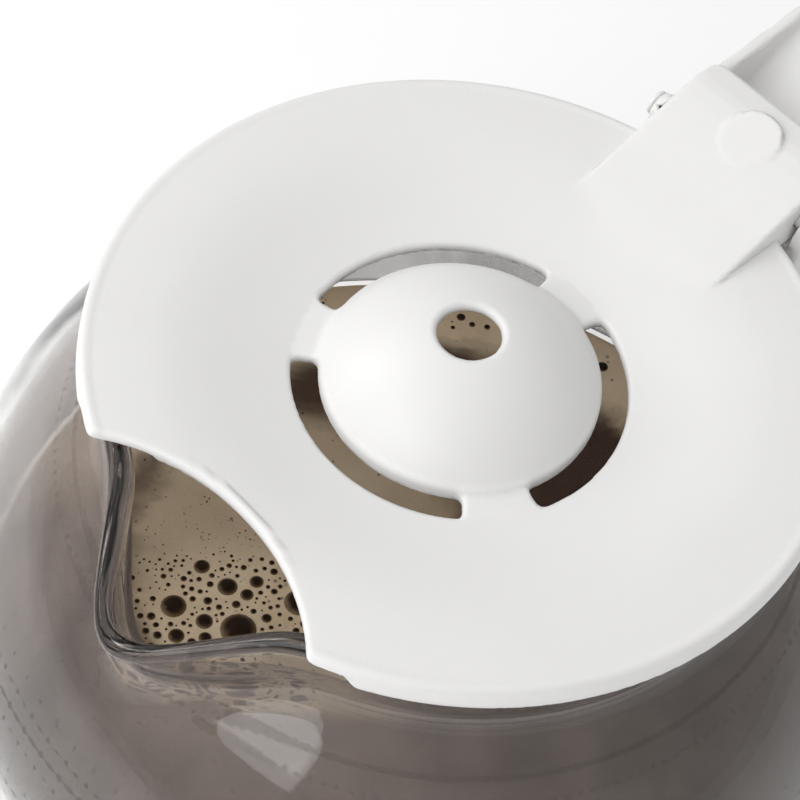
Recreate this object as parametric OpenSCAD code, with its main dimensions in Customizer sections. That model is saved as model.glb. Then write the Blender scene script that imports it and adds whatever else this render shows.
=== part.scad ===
// Drip-coffee carafe: glass jug, hinged lid and clamped handle.
// Millimetres, +Z up. The origin is on the jug's axis, at the bottom of its flat base.
// The handle points along +X and the spout along -X.

/* [Jug] */
// Greatest radius of the glass belly
belly_r = 83.5; // [80:0.5:86]
// Height of the belly's widest line above the base
belly_z = 67; // [64:0.5:70]
// Radius of the flat base
base_r = 58; // [50:0.5:62]
// Thickness of the glass wall
glass_t = 2.4; // [2:0.1:3]
// Reach of the spout's tip from the jug's axis
spout_reach = 72; // [70:0.5:74]

/* [Lid] */
// Height of the lid's top rim above the base
lid_z = 136; // [135:0.5:138]
// Radius of the lid's top rim
lid_r = 60; // [59.5:0.25:60.5]
// Thickness of the moulded lid
lid_t = 2; // [1.8:0.1:2.2]
// Radius of the hole in the dome
dome_hole_r = 5.1; // [4:0.1:6]
// Depth of the funnel's floor below the rim
funnel_depth = 5.3; // [5:0.1:5.6]
// Radius of the arc that is cut out over the spout
notch_r = 38.8; // [36:0.1:40]
// Half the width of the strap that runs back to the hinge
strap_hw = 15.1; // [15:0.1:15.2]

/* [Hinge] */
// Distance of the hinge axis from the jug's axis
hinge_x = 63.5; // [63.4:0.1:63.6]
// Radius of the hinge pin
pin_r = 1.5; // [1.4:0.1:1.6]
// Radial clearance of the pin in the handle's knuckle
pin_gap = 0.05; // [0.02:0.01:0.1]

/* [Handle] */
// Half the width of the handle at the hinge
arm_hw = 18; // [18:0.1:18.4]
// Half the width of the grip
grip_hw = 14; // [13.8:0.1:14.2]
// Wall thickness of the handle moulding
wall = 2.5; // [2.4:0.1:2.6]

/* [Clamp] */
// Height of the clamp band's middle above the base
band_z = 36; // [35.5:0.5:36.5]
// Height of the clamp band
band_h = 10; // [9:0.5:10]
// Thickness of the steel band
band_t = 0.8; // [0.7:0.1:0.9]
// Thickness of the silicone cushion under the band
cushion_t = 1.2; // [1:0.1:1.4]

/* [Hidden] */
$fn = 96;
eps = 0.05;

// Levels and radii worked out from the driving sizes
rim_gap = 0.05;
glass_top = lid_z - lid_t - 0.2 - rim_gap;
neck_r = 55.6;
neck_z = lid_z - 14;
rim_r = 57;
base_t = 3.5;
hinge_z = lid_z + 1.2;
skirt_r = lid_r + 0.3;
skirt_h = 4.2;
dome_r = 27.7;
dome_base_r = 22.6;
slot_out_r = 27;
funnel_r = 47;
dome_top = 6.2;
slot_half = 47;
floor_edge = 0.3;
cheek_t = 2.6;
strap_in = strap_hw - cheek_t;
eye_r = 2.8;
eye_hw = strap_in - 0.5;
tail_x = 74;
tail_top = 8.3;
tail_t = 2;
pit_r = 13.8;
tail_room = 0.5;
nose_r = 2.7;
head_r = 2.3;
head_h = 0.9;
head_gap = 0.05;
notch_x = -45.7 - notch_r;
lip_t = 1.6;

// The sloping glass at one height of the lower body
function lower_r(z) = base_r + (belly_r - base_r) * sqrt(1 - pow((belly_z - z) / belly_z, 2));

// Half of the jug's section, thinned by w: base corner, belly, shoulder, neck and rim
function jug_side(w) = concat(
    [for (a = [0 : 7.5 : 90]) [base_r + (belly_r - base_r - w) * sin(a),
                               belly_z - (belly_z - (w > 0 ? base_t : 0)) * cos(a)]],
    [for (a = [6 : 6 : 42]) [(belly_r - w) * cos(a), belly_z + (belly_z - w) * sin(a)]],
    [for (p = shoulder(w)) p],
    [[neck_r - w, neck_z + 2], [neck_r - w + 0.5, glass_top - 5]]);
function mix(a, b, t) = a * (1 - t) + b * t;
function bend(p, q, r, t) = mix(mix(p, q, t), mix(q, r, t), t);
function shoulder(w) = [for (t = [0.2 : 0.2 : 1])
    bend([(belly_r - w) * cos(43), belly_z + (belly_z - w) * sin(43)],
         [neck_r - w, neck_z - 5], [neck_r - w, neck_z - 1], t)];
function turned(list) = [for (i = [len(list) - 1 : -1 : 0]) list[i]];

// ---------------------------------------------------------------- glass jug
module jug_body() {
    rotate_extrude()
        polygon(concat([[0, 0]], jug_side(0),
            [[rim_r, glass_top - 1.4], [rim_r - 0.4, glass_top - 0.4], [rim_r - 1.2, glass_top],
             [rim_r - 2, glass_top - 0.4], [rim_r - glass_t, glass_top - 1.4]],
            turned(jug_side(glass_t)), [[0, base_t]]));
}

// Prow that swells out of the neck towards the tip of the spout
module prow(w, root_z, lift) {
    hull() {
        for (s = [-1, 1])
            translate([-50.5 + w, s * (19.5 - w * 0.7), lid_z - 18])
                cylinder(r = 2.8, h = 15.5 + lift, $fn = 24);
        translate([-spout_reach + 4.5 + w * 0.4, 0, lid_z - 13]) sphere(r = 4.5 - w * 0.6, $fn = 28);
        translate([-spout_reach + 4.5 + w * 0.4, 0, lid_z - 12])
            cylinder(r = 4.5 - w * 0.6, h = 9.5 + lift, $fn = 28);
        translate([-50.5 + w, 0, root_z]) sphere(r = 5, $fn = 24);
    }
}
module above_lip() {
    translate([-53.5, -40, glass_top]) rotate([0, -27, 0]) translate([-60, 0, 0]) cube([60, 80, 40]);
}
module glass_jug() {
    color([0.72, 0.66, 0.62, 0.55]) difference() {
        union() {
            difference() {
                jug_body();
                intersection() {
                    prow(glass_t, lid_z - 30, 10);
                    translate([-100, -50, lid_z - 40]) cube([50, 100, 60]);
                }
            }
            difference() {
                prow(0, lid_z - 33, 0);
                prow(glass_t, lid_z - 30, 10);
                above_lip();
                translate([0, 0, lid_z - 45]) cylinder(r = neck_r - glass_t + 0.2, h = 60);
            }
        }
        translate([-120, -50, lid_z - 1.9]) cube([80, 100, 20]);
    }
}

// ---------------------------------------------------------------- lid
function dome_z(r, radius) = dome_top - sqrt(dome_r * dome_r - dome_hole_r * dome_hole_r)
    + sqrt(radius * radius - r * r);
module lid_plate() {
    steps = [for (i = [0 : 8]) dome_hole_r + (dome_base_r - floor_edge - dome_hole_r) * i / 8];
    top = concat([for (r = steps) [r, dome_z(r, dome_r)]],
        [[dome_base_r - floor_edge + 0.1, -funnel_depth], [slot_out_r + floor_edge, -funnel_depth],
         [funnel_r - 6, -1.6], [funnel_r, -0.5], [funnel_r + 5, -0.1], [lid_r - 1, 0],
         [lid_r - 0.3, -0.3], [lid_r, -1], [skirt_r, -skirt_h]]);
    under = concat([[rim_r + 0.7, -skirt_h], [rim_r + 0.7, -lid_t - 0.2], [53.0, -lid_t - 0.2],
         [52.8, -11], [51.4, -11], [51.2, -lid_t - 0.2], [funnel_r, -lid_t - 0.6],
         [slot_out_r + floor_edge, -funnel_depth - lid_t], [dome_base_r - 1.7, -funnel_depth - lid_t]],
        [for (i = [7 : -1 : 0]) [steps[i], dome_z(steps[i], dome_r - lid_t)]]);
    rotate_extrude() polygon(concat(top, under));
}
module slots() {
    mid_r = (dome_base_r + slot_out_r) / 2;
    end_r = (slot_out_r - dome_base_r) / 2;
    turn = slot_half - 5;
    for (a = [60, 180, 300]) rotate([0, 0, a]) translate([0, 0, -12]) linear_extrude(height = 14)
        polygon(concat(arc(0, 0, slot_out_r, -turn, turn, 16),
            arc(mid_r * cos(turn), mid_r * sin(turn), end_r, turn + 20, turn + 160, 7),
            arc(0, 0, dome_base_r, turn, -turn, 16),
            arc(mid_r * cos(turn), -mid_r * sin(turn), end_r, -turn - 160, -turn - 20, 7)));
}
// Side view of the strap, from its front edge on the funnel to the rounded tail
module strap_outline() {
    polygon([[35.5, -5.6], [35.5, -3.3], [44, -0.2], [52.5, 2.8], [60, 5.9], [64, 7.3], [67, 8.1],
             [69, tail_top], [tail_x - 1, tail_top], [tail_x, tail_top - 0.7], [tail_x, tail_top - 1.7],
             [tail_x - 0.7, tail_top - tail_t], [68, tail_top - tail_t], [67.5, 3], [66, -2],
             [hinge_x - 0.5, -3.3], [58.4, -3.3], [58.4, -lid_t - 0.2], [50, -lid_t - 0.2]]);
}
module strap_hollow() {
    polygon([[49, -14], [49, -1.2], [54, 0.9], [60, 3.6], [64, 5.1], [68, tail_top - tail_t],
             [80, 6], [80, -14]]);
}
module side_slab(hw) { rotate([90, 0, 0]) linear_extrude(height = 2 * hw, center = true) children(); }
// Plan view of the strap, with rounded corners at its tail
module strap_plan() {
    corner = 3;
    polygon(concat([[30, -strap_hw]], arc(tail_x - corner, -strap_hw + corner, corner, -90, 0, 5),
        arc(tail_x - corner, strap_hw - corner, corner, 0, 90, 5), [[30, strap_hw]]));
}
// Raised pad for the thumb, which slopes up to its back edge
module thumb_nub() {
    intersection() {
        translate([64.6, -0.5, tail_top - 3.5]) cylinder(r = 5.3, h = 7);
        side_slab(8) polygon([[59, tail_top - 3.5], [72, tail_top - 1.6], [72, tail_top + 1.5],
            [69.4, tail_top + 1.5], [59, tail_top - 2.7]]);
    }
}
// Thicker edge along the notch, between the spout's two walls
module notch_lip() {
    intersection() {
        difference() {
            translate([notch_x, 0, -3]) cylinder(r = notch_r + lip_t, h = 2);
            translate([notch_x, 0, -4]) cylinder(r = notch_r, h = 4);
        }
        translate([0, 0, -5]) cylinder(r = 52, h = 5);
    }
}
module lid() {
    color([0.93, 0.93, 0.92]) difference() {
        translate([0, 0, lid_z]) {
            difference() {
                lid_plate();
                slots();
                translate([notch_x, 0, -20]) cylinder(r = notch_r, h = 30);
                // the skirt stops short beside the spout
                translate([-80, -60, -skirt_h - 1]) cube([28.8, 120, skirt_h - 0.9]);
                translate([-80, -60, -20]) cube([44, 120, 20 - lid_t - 0.25]);
                translate([49, -strap_in, -20]) cube([40, 2 * strap_in, 40]);
            }
            notch_lip();
            difference() {
                intersection() {
                    side_slab(strap_hw) strap_outline();
                    translate([0, 0, -20]) linear_extrude(height = 40) strap_plan();
                }
                side_slab(strap_in) strap_hollow();
                translate([0, 0, -9.95]) rotate_extrude()
                    polygon([[0, 0], [slot_out_r, 1], [51.2, 7.4], [51.2, 0]]);
            }
            thumb_nub();
        }
        translate([hinge_x, 0, hinge_z]) rotate([90, 0, 0]) cylinder(r = pin_r, h = 60, center = true);
    }
}

// ---------------------------------------------------------------- hinge pin and its cap
module hinge_pin() {
    color([0.9, 0.9, 0.88]) translate([hinge_x, 0, hinge_z]) rotate([90, 0, 0]) {
        cylinder(r = pin_r, h = 2 * (arm_hw + head_gap) + 0.8, center = true);
        translate([0, 0, -arm_hw - head_gap - head_h]) cylinder(r1 = head_r - 0.5, r2 = head_r, h = 0.5);
        translate([0, 0, -arm_hw - head_gap - head_h + 0.5]) cylinder(r = head_r, h = head_h - 0.5);
    }
}
module pin_cap() {
    color([0.9, 0.9, 0.88]) translate([hinge_x, 0, hinge_z]) rotate([90, 0, 0])
        translate([0, 0, arm_hw + head_gap]) difference() {
            union() {
                cylinder(r = head_r, h = head_h - 0.5);
                translate([0, 0, head_h - 0.5]) cylinder(r1 = head_r, r2 = head_r - 0.5, h = 0.5);
            }
            translate([0, 0, -1]) cylinder(r = pin_r, h = 1.4);
        }
}

// ---------------------------------------------------------------- handle
// Points on an arc in the side view, used for the handle's rounded corners
function arc(x, z, r, a0, a1, n) =
    [for (i = [0 : n]) let (a = a0 + (a1 - a0) * i / n) [x + r * cos(a), z + r * sin(a)]];
function handle_back() = concat(arc(hinge_x, 1.2, nose_r, 180, 22, 12), [[68, 1.1], [73, 1.1]],
    [[100, 4.1]], arc(104, -25.2, 30, 80, 0, 10), arc(104, -78, 30, 0, -80, 10));
function handle_front() = concat([[84.5, -108], [84.5, -92]], arc(98, -72, 20, -80, 0, 6),
    arc(98, -28, 20, 0, 75, 6), [[90, -8.4], [76, -15], [67, -20], [60.4, -18.5], [60.4, -6]]);
module handle_outline() {
    polygon(concat([[hinge_x - nose_r, -5]], handle_back(), handle_front()));
}
// Plan view: full width at the hinge, narrower at the grip
module handle_plan() {
    polygon([[55, -arm_hw], [100, -arm_hw], [118, -grip_hw], [140, -grip_hw],
             [140, grip_hw], [118, grip_hw], [100, arm_hw], [55, arm_hw]]);
}
cavity_hw = grip_hw - wall;
module grip_cavity() {
    side_slab(cavity_hw) polygon(concat(arc(98, -72, 20 - eps, -40, 0, 4), arc(98, -28, 20 - eps, 0, 40, 4),
        arc(104, -22, 26.5, 40, 0, 4), arc(104, -76, 26.5, 0, -40, 4)));
}
cover_zs = [-32, -68];
module handle_shell() {
    color([0.92, 0.92, 0.91]) translate([0, 0, lid_z]) difference() {
        union() {
            difference() {
                intersection() {
                    side_slab(arm_hw) handle_outline();
                    translate([0, 0, -150]) linear_extrude(height = 200) handle_plan();
                }
                // trough for the lid's tail, with a shallower floor behind it
                side_slab(strap_hw + tail_room) difference() {
                    translate([hinge_x, 1.2]) circle(r = pit_r);
                    translate([40, -30]) square([24.6, 60]);
                }
                intersection() {
                    side_slab(strap_hw + tail_room)
                        polygon([[66, -6.5], [84, -6.2], [86.6, -5.4], [92.6, -1.4],
                            [98.3, 1], [106, 6], [106, 14], [66, 14]]);
                    linear_extrude(height = 60, center = true)
                        polygon([[60, -20], [98, -20], [98, -strap_hw - tail_room], [110, -12],
                            [110, 12], [98, strap_hw + tail_room], [98, 20], [60, 20]]);
                }
                translate([55, -strap_hw - tail_room, -3.6]) cube([9.6, 2 * (strap_hw + tail_room), 12]);
                grip_cavity();
                // slot for the clamp band's ears, and the clamp screw's hole with its two pockets
                translate([80, -5, -107]) cube([20, 10, 14]);
                translate([91, 0, band_z - lid_z]) rotate([90, 0, 0]) {
                    cylinder(r = 2.1, h = 60, center = true);
                    translate([0, 0, 10]) cylinder(r = 4.2, h = 20);
                    translate([0, 0, -30]) cylinder(r = 4.2, h = 20);
                }
            }
            // knuckle between the strap's cheeks
            side_slab(eye_hw) union() {
                translate([hinge_x, 1.2]) circle(r = eye_r);
                polygon([[61.2, 1.2], [61, -3.2], [60.6, -5], [64.6, -5], [64.9, 0]]);
            }
            // bosses behind the cover
            for (z = cover_zs) translate([118, 0, z]) rotate([0, 90, 0]) translate([0, 0, 3])
                cylinder(r = 3.6, h = 11);
        }
        translate([hinge_x, 0, 1.2]) rotate([90, 0, 0]) cylinder(r = pin_r + pin_gap, h = 60, center = true);
        for (z = cover_zs) translate([110, 0, z]) rotate([0, 90, 0]) cylinder(r = 1.4, h = 19);
        for (s = [-1, 1]) translate([59, s * 6, -15.6]) rotate([0, 90, 0]) cylinder(r = 1.3, h = 10);
    }
}
module handle_cover() {
    color([0.9, 0.9, 0.89]) translate([0, 0, lid_z]) difference() {
        side_slab(cavity_hw - 0.1) polygon(concat(arc(98, -72, 20, -36, 0, 4), arc(98, -28, 20, 0, 36, 4),
            arc(98, -28, 23, 36, 0, 4), arc(98, -72, 23, 0, -36, 4)));
        for (z = cover_zs) translate([110, 0, z]) rotate([0, 90, 0]) cylinder(r = 1.6, h = 19);
        for (z = cover_zs) translate([116, 0, z]) rotate([0, 90, 0]) cylinder(r = 3, h = 3.2);
    }
}
module screw(head, shank, length) {
    translate([0, 0, -1.4]) difference() {
        cylinder(r = head, h = 1.4);
        for (a = [0, 90]) rotate([0, 0, a]) translate([-head * 0.6, -0.35, -1]) cube([head * 1.2, 0.7, 1.7]);
    }
    cylinder(r = shank, h = length);
}
module cover_screws() {
    color("silver") for (z = cover_zs) translate([119.2, 0, lid_z + z]) rotate([0, 90, 0]) screw(2.8, 1.4, 9);
}

// ---------------------------------------------------------------- bracket that hooks over the rim
bracket_hw = 10.5;
module neck_bracket() {
    color("silver") translate([0, 0, lid_z]) difference() {
        side_slab(bracket_hw) polygon([[51, -8], [51, -1.4], [51.6, -0.9], [59.4, -0.9], [60.3, -1.7],
            [60.3, -18], [59.1, -18], [59.1, -2.1], [52.1, -2.1], [52.1, -8]]);
        for (s = [-1, 1]) translate([55, s * 6, -15.6]) rotate([0, 90, 0]) cylinder(r = 1.3, h = 10);
    }
}
module bracket_pad() {
    color([0.75, 0.75, 0.74]) translate([0, 0, lid_z]) difference() {
        translate([54, -bracket_hw + 0.5, -17.5]) cube([5.05, 2 * bracket_hw - 1, 14]);
        translate([0, 0, -30]) cylinder(r = rim_r + 0.05, h = 60);
        for (s = [-1, 1]) translate([50, s * 6, -15.6]) rotate([0, 90, 0]) cylinder(r = 2.6, h = 12);
    }
}
module bracket_screws() {
    color("silver") for (s = [-1, 1])
        translate([59.1, s * 6, lid_z - 15.6]) rotate([0, 90, 0]) screw(2.3, 1.3, 9.5);
}

// ---------------------------------------------------------------- clamp band and its cushion
band_lo = band_z - band_h / 2;
band_hi = band_z + band_h / 2;
module band_ring(inner, outer) {
    rotate_extrude() polygon([[lower_r(band_lo) + inner, band_lo], [lower_r(band_lo) + outer, band_lo],
        [lower_r(band_z) + outer, band_z], [lower_r(band_hi) + outer, band_hi],
        [lower_r(band_hi) + inner, band_hi], [lower_r(band_z) + inner, band_z]]);
}
module clamp_band() {
    color("silver") difference() {
        union() {
            band_ring(cushion_t + eps, cushion_t + eps + band_t);
            for (s = [-1, 1]) translate([82, s * 4 - band_t / 2, band_lo + 1]) cube([15, band_t, band_h - 2]);
        }
        translate([70, -4 + band_t / 2, band_lo - 1]) cube([20, 8 - band_t, band_h + 2]);
        // the ears start outside the cushion
        rotate_extrude() polygon([[60, band_lo], [lower_r(band_lo) + cushion_t + eps, band_lo],
            [lower_r(band_z) + cushion_t + eps, band_z],
            [lower_r(band_hi) + cushion_t + eps, band_hi], [60, band_hi]]);
        translate([91, 0, band_z]) rotate([90, 0, 0]) cylinder(r = 2.1, h = 20, center = true);
    }
}
module band_cushion() {
    color([0.75, 0.75, 0.74]) difference() {
        band_ring(eps * 3, cushion_t);
        translate([70, -3, band_lo - 1]) cube([20, 6, band_h + 2]);
    }
}
module clamp_screw() {
    color("silver") translate([91, 0, band_z]) rotate([90, 0, 0]) {
        cylinder(r = 2, h = 22.4, center = true);
        translate([0, 0, 10]) difference() {
            cylinder(r = 3.8, h = 2.4);
            translate([-4, -0.5, 1.4]) cube([8, 1, 2]);
        }
    }
}
module clamp_nut() {
    color("silver") translate([91, 0, band_z]) rotate([90, 0, 0]) translate([0, 0, -12.4]) difference() {
        cylinder(r = 3.9, h = 2.4, $fn = 6);
        translate([0, 0, -1]) cylinder(r = 2, h = 5, $fn = 48);
    }
}

glass_jug();
lid();
hinge_pin();
pin_cap();
handle_shell();
handle_cover();
cover_screws();
neck_bracket();
bracket_pad();
bracket_screws();
clamp_band();
band_cushion();
clamp_screw();
clamp_nut();
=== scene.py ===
"""Drip-coffee carafe with a hinged lid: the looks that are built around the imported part.

Shapes are worked out in millimetres and put into meshes in metres. Heights called "level" are
measured from the lid's top rim, which is LID_Z above the base.
"""

import bmesh
import bpy
import numpy as np
from mathutils import Matrix, Vector


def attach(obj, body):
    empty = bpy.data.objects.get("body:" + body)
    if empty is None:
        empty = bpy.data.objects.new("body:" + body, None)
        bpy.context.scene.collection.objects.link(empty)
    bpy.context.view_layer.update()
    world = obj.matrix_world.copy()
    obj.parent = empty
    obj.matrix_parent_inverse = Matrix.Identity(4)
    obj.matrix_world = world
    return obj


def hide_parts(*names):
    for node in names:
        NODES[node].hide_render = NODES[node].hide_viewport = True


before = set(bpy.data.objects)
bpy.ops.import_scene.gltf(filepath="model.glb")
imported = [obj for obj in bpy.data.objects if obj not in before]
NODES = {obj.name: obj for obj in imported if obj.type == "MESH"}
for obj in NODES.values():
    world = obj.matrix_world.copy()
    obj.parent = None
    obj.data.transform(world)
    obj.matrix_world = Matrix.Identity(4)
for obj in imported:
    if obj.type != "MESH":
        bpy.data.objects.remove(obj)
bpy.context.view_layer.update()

bl_info = {
    "name": "Coffee carafe",
    "version": (1, 0, 0),
    "blender": (4, 5, 0),
    "location": "View3D > Sidebar > Carafe",
    "description": "Builds the lid, glass, coffee and fittings of a drip-coffee carafe",
    "category": "Add Mesh",
}

MM = 0.001
LID_Z = 136.0
HINGE = np.array([63.5, 0.0, 1.2])
BELLY_Z = 67.0
BELLY_R = 83.5
NECK_R = 55.6
GLASS_WALL = 2.4
COVER_R = 20.0  # radius of the grip's inner corners
UPPER_BEND, LOWER_BEND = (98, -28), (98, -72)  # their centres
CLAMP_BOLT = (91, -100)
COVER_SCREWS = (-32, -68)  # levels
PIN_R = 1.5
PIN_END = 18.45
PIN_SIDES = 48


# ---------------------------------------------------------------- plane and space distances
def smooth_min(a, b, k):
    h = np.maximum(k - np.abs(a - b), 0.0) / k
    return np.minimum(a, b) - h * h * k * 0.25


def smooth_max(a, b, k):
    return -smooth_min(-a, -b, k)


def smoothstep(low, high, x):
    t = np.clip((x - low) / (high - low), 0.0, 1.0)
    return t * t * (3.0 - 2.0 * t)


def curve_through(points, steps=6):
    """A Catmull-Rom curve through the points, as a list of points."""
    p = np.asarray(points, float)
    p = np.vstack([2 * p[0] - p[1], p, 2 * p[-1] - p[-2]])
    out = []
    for i in range(1, len(p) - 2):
        a, b, c, d = p[i - 1], p[i], p[i + 1], p[i + 2]
        for t in np.arange(steps) / steps:
            square, cube = 2 * a - 5 * b + 4 * c - d, 3 * b - a - 3 * c + d
            out.append(0.5 * (2 * b + (c - a) * t + square * t**2 + cube * t**3))
    out.append(p[-2])
    return np.array(out)


def arc(x, z, r, start, end, steps):
    a = np.radians(np.linspace(start, end, steps + 1))
    return [(x + r * np.cos(t), z + r * np.sin(t)) for t in a]


def path_distance(x, y, path):
    """Distance from the points (x, y) to a polyline."""
    best = np.full(np.shape(x), 1e9)
    path = np.asarray(path, float)
    for (ax, ay), (bx, by) in zip(path[:-1], path[1:]):
        dx, dy = bx - ax, by - ay
        t = np.clip(((x - ax) * dx + (y - ay) * dy) / (dx * dx + dy * dy + 1e-12), 0, 1)
        best = np.minimum(best, (x - ax - t * dx) ** 2 + (y - ay - t * dy) ** 2)
    return np.sqrt(best)


def outline_distance(x, y, path):
    """Signed distance to a closed outline, negative inside."""
    path = np.asarray(path, float)
    ring = np.vstack([path, path[:1]])
    inside = np.zeros(np.shape(x), bool)
    for (ax, ay), (bx, by) in zip(ring[:-1], ring[1:]):
        if ay != by:
            inside ^= ((ay > y) != (by > y)) & (x < (bx - ax) * (y - ay) / (by - ay) + ax)
    return np.where(inside, -1.0, 1.0) * path_distance(x, y, ring)


def pin_distance(p, x, z, radius):
    """Signed distance to a round bar along Y."""
    return np.hypot(p[..., 0] - x, p[..., 2] - z) - radius


# ---------------------------------------------------------------- surfaces from a distance field
def in_parts(field, points, block=400000):
    """The field at many points, a block at a time."""
    return np.concatenate([field(points[i : i + block]) for i in range(0, len(points), block)])


def slope(field, v, h=0.02):
    g = np.zeros_like(v)
    for axis in range(3):
        step = np.zeros(3)
        step[axis] = h
        g[:, axis] = in_parts(field, v + step) - in_parts(field, v - step)
    return g / (2 * h)


def surface_net(field, low, high, step, relax=2):
    """A closed quad mesh on the field's zero, with its normals."""
    low, high = np.asarray(low, float), np.asarray(high, float)
    n = np.ceil((high - low) / step).astype(int) + 1
    axes = [low[i] + step * np.arange(n[i]) for i in range(3)]
    grid = np.stack(np.meshgrid(*axes, indexing="ij"), -1)
    value = in_parts(field, grid.reshape(-1, 3)).reshape(n)
    value = np.where(np.abs(value) < 1e-6, 1e-6, value)
    inside = value < 0
    cells = tuple(n - 1)
    total, count = np.zeros(cells + (3,)), np.zeros(cells)
    quads_at = []
    for axis in range(3):
        a = [slice(None)] * 3
        b = [slice(None)] * 3
        a[axis], b[axis] = slice(0, -1), slice(1, None)
        va, vb = value[tuple(a)], value[tuple(b)]
        crossing = inside[tuple(a)] != inside[tuple(b)]
        idx = np.argwhere(crossing)
        t = va[crossing] / (va[crossing] - vb[crossing])
        point = low + step * idx
        point[:, axis] += step * t
        u, w = [(1, 2), (2, 0), (0, 1)][axis]
        ok = (idx[:, u] > 0) & (idx[:, w] > 0) & (idx[:, u] < n[u] - 1) & (idx[:, w] < n[w] - 1)
        idx, point = idx[ok], point[ok]
        corners = []
        for du, dw in ((-1, -1), (0, -1), (0, 0), (-1, 0)):
            c = idx.copy()
            c[:, u] += du
            c[:, w] += dw
            flat = np.ravel_multi_index(tuple(c.T), cells)
            corners.append(flat)
            np.add.at(total.reshape(-1, 3), flat, point)
            np.add.at(count.reshape(-1), flat, 1)
        quad = np.stack(corners, 1)
        outward = inside[tuple(idx.T)]
        quad[~outward] = quad[~outward][:, ::-1]
        quads_at.append(quad)
    used = np.flatnonzero(count.reshape(-1))
    number = np.full(int(np.prod(cells)), -1)
    number[used] = np.arange(len(used))
    v = total.reshape(-1, 3)[used] / count.reshape(-1)[used][:, None]
    faces = number[np.concatenate(quads_at)]
    for turn in range(relax + 1):
        if turn:
            away, near = np.zeros_like(v), np.zeros(len(v))
            for i in range(4):
                for j in (i - 1, (i + 1) % 4):
                    np.add.at(away, faces[:, i], v[faces[:, j]])
                    np.add.at(near, faces[:, i], 1)
            v = 0.4 * v + 0.6 * away / near[:, None]
        for _ in range(2):
            g = slope(field, v)
            move = in_parts(field, v)[:, None] * g / np.maximum((g * g).sum(1), 0.2)[:, None]
            v = v - np.clip(move, -0.6 * step, 0.6 * step)
    g = slope(field, v, 0.05)
    return v, faces, g / np.maximum(np.linalg.norm(g, axis=1), 1e-9)[:, None]


def mesh_object(name, points, faces, normals=None, smooth=True):
    """A new object at the origin from points in millimetres."""
    mesh = bpy.data.meshes.new(name)
    mesh.from_pydata((np.asarray(points) * MM).tolist(), [], [list(map(int, f)) for f in faces])
    mesh.update()
    mesh.validate()
    mesh.polygons.foreach_set("use_smooth", [smooth] * len(mesh.polygons))
    if normals is not None:
        mesh.normals_split_custom_set_from_vertices([tuple(n) for n in normals])
    obj = bpy.data.objects.new(name, mesh)
    bpy.context.scene.collection.objects.link(obj)
    return obj


def net_object(name, field, low, high, step, relax=2):
    v, faces, normals = surface_net(field, low, high, step, relax)
    v = v + np.array([0, 0, LID_Z])
    return mesh_object(name, v, faces, normals)


def band(lower, upper, count):
    """Quads between two closed rings of points, given by the number of each ring's first point."""
    j = np.arange(count)
    k = (j + 1) % count
    return np.stack([lower + j, lower + k, upper + k, upper + j], 1).tolist()


def turned_object(name, profile, sides, centre, cap=(True, True)):
    """A piece turned about Y: profile is (radius, height) from one end of the axis to the other."""
    a = 2 * np.pi * np.arange(sides) / sides
    points, faces = [], []
    for r, h in profile:
        points += [(r * np.cos(t), r * np.sin(t), h) for t in a]
    rows = len(profile)
    for i in range(rows - 1):
        faces += band(i * sides, (i + 1) * sides, sides)
    if cap[0]:
        points.append((0, 0, profile[0][1]))
        faces += [(len(points) - 1, (j + 1) % sides, j) for j in range(sides)]
    if cap[1]:
        points.append((0, 0, profile[-1][1]))
        base = (rows - 1) * sides
        faces += [(len(points) - 1, base + j, base + (j + 1) % sides) for j in range(sides)]
    p = np.array(points, float)[:, [1, 2, 0]]
    return mesh_object(name, p + np.asarray(centre, float), faces)


def recalculate(obj):
    """Turns every face outwards."""
    bm = bmesh.new()
    bm.from_mesh(obj.data)
    bmesh.ops.recalc_face_normals(bm, faces=bm.faces)
    bm.to_mesh(obj.data)
    bm.free()


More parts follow.
